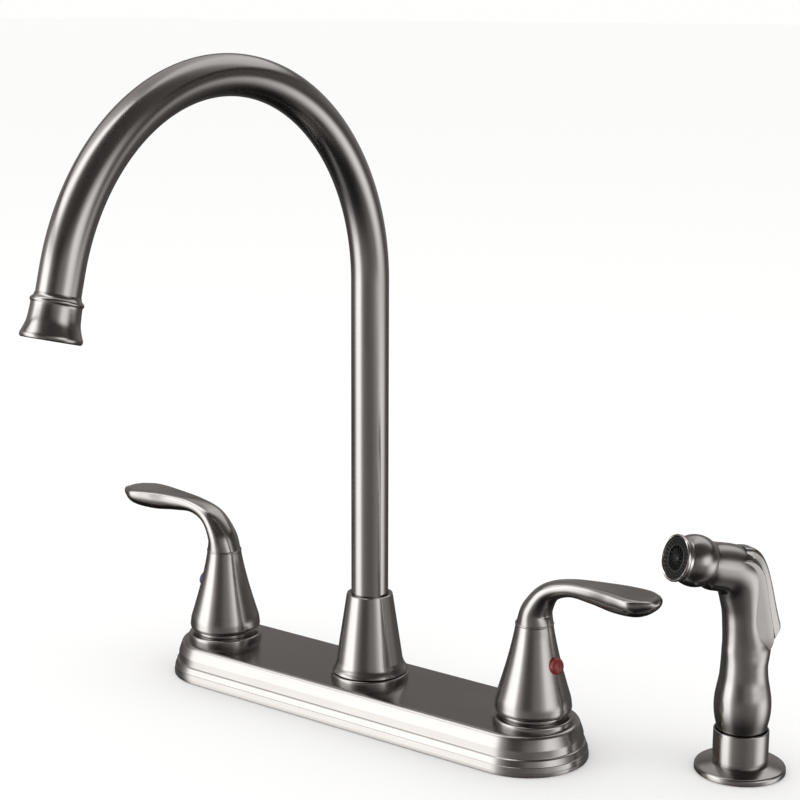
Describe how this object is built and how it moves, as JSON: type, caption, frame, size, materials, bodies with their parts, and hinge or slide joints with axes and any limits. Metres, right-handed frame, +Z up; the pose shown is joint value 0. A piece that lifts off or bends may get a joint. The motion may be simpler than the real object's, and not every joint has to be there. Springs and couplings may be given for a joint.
{
  "type": "side spray kitchen faucet",
  "caption": "Deck-mounted kitchen faucet in brushed nickel with a swivelling gooseneck spout, lever handles on an eight-inch plate and a separate pull-out side spray in its own holder.",
  "frame": {"origin": "on the spout's axis, in the plane of the deck", "axes": "+X along the deck plate towards the side spray, -Y towards the user and along the spout's reach, +Z up"},
  "size_m": [0.3844, 0.2936, 0.3953],
  "materials": {
    "brushed_nickel": "brushed nickel, fine grain",
    "satin_nickel": "satin plating on plastic",
    "bright_nickel": "polished plating",
    "spray_black": "moulded black",
    "brass": "cast and turned brass",
    "copper": "drawn copper tube",
    "rubber": "black rubber",
    "ceramic": "polished alumina",
    "white_plastic": "moulded acetal",
    "grey_plastic": "moulded grey",
    "steel": "plain stainless steel",
    "red_button": "dark red, glossy",
    "blue_button": "dark blue, glossy"
  },
  "bodies": {
    "base": {"deck_plate": "brushed_nickel", "base_gasket": "rubber", "centre_body": "brass", "hose_nipple": "brass", "diverter_cage": "white_plastic", "spout_ring": "brushed_nickel", "spout_hub": "brushed_nickel", "spout_bearing": "white_plastic", "mounting_washers": "steel", "mounting_nuts": "white_plastic", "spray_flange": "brushed_nickel", "spray_holder": "brushed_nickel", "spray_holder_washer": "steel", "spray_holder_nut": "white_plastic", "left_valve_body": "brass", "right_valve_body": "brass", "left_cross_tube": "copper", "right_cross_tube": "copper", "left_cartridge_housing": "white_plastic", "right_cartridge_housing": "white_plastic", "left_cartridge_seal": "rubber", "right_cartridge_seal": "rubber", "left_fixed_disc": "ceramic", "right_fixed_disc": "ceramic", "left_bonnet_nut": "brass", "right_bonnet_nut": "brass", "left_trim_ring": "brushed_nickel", "right_trim_ring": "brushed_nickel"},
    "left_handle": {"left_handle_bell": "brushed_nickel", "left_lever": "brushed_nickel", "left_index_button": "blue_button", "left_set_screw": "steel", "left_stem": "brass", "left_moving_disc": "ceramic"},
    "right_handle": {"right_handle_bell": "brushed_nickel", "right_lever": "brushed_nickel", "right_index_button": "red_button", "right_set_screw": "steel", "right_stem": "brass", "right_moving_disc": "ceramic"},
    "spout": {"spout_tube": "brushed_nickel", "spout_ferrule": "brass", "spout_o_rings": "rubber", "spout_clip": "steel", "outlet_bell": "brushed_nickel", "aerator_housing": "white_plastic", "aerator_washer": "rubber", "aerator_screen": "grey_plastic"},
    "diverter": {"diverter_poppet": "white_plastic"},
    "spray_hose_end": {"hose_collar": "white_plastic"},
    "spray": {"spray_body": "satin_nickel", "spray_collar": "satin_nickel", "nozzle_ring": "bright_nickel", "spray_face": "spray_black", "spray_core": "spray_black", "trigger_pin": "steel"},
    "trigger": {"spray_trigger": "satin_nickel"},
    "plunger": {"valve_plunger": "grey_plastic"}
  },
  "joints": [
    {"name": "spout_swivel", "type": "hinge", "parent": "base", "child": "spout", "pos_m": [0, 0, 0.05], "axis": [0, 0, 1], "continuous": true},
    {"name": "left_handle_turn", "type": "hinge", "parent": "base", "child": "left_handle", "pos_m": [-0.1016, 0, 0.03], "axis": [0, 0, 1], "range_deg": [0, 90]},
    {"name": "right_handle_turn", "type": "hinge", "parent": "base", "child": "right_handle", "pos_m": [0.1016, 0, 0.03], "axis": [0, 0, 1], "range_deg": [-90, 0]},
    {"name": "diverter_slide", "type": "slide", "parent": "base", "child": "diverter", "axis": [0, 0, 1], "range_m": [0, 0.006]},
    {"name": "spray_lift", "type": "slide", "parent": "base", "child": "spray_hose_end", "axis": [0, 0, 1], "range_m": [0, 0.09]},
    {"name": "spray_swivel", "type": "hinge", "parent": "spray_hose_end", "child": "spray", "pos_m": [0.1904, 0.0471, 0.02], "axis": [0, 0, 1], "continuous": true},
    {"name": "trigger_press", "type": "hinge", "parent": "spray", "child": "trigger", "pos_m": [0.18944, 0.04535, 0.1076], "axis": [-0.8771, 0.4802, 0], "range_deg": [0, 5.2], "stiffness_Nm_per_rad": 1.5, "springref_deg": -5.73},
    {"name": "plunger_slide", "type": "slide", "parent": "spray", "child": "plunger", "axis": [-0.4802, -0.8771, 0], "range_m": [0, 0.002]}
  ],
  "couplings": [
    {"joint": "plunger_slide", "follows": "trigger_press", "m_per_rad": 0.0214}
  ]
}
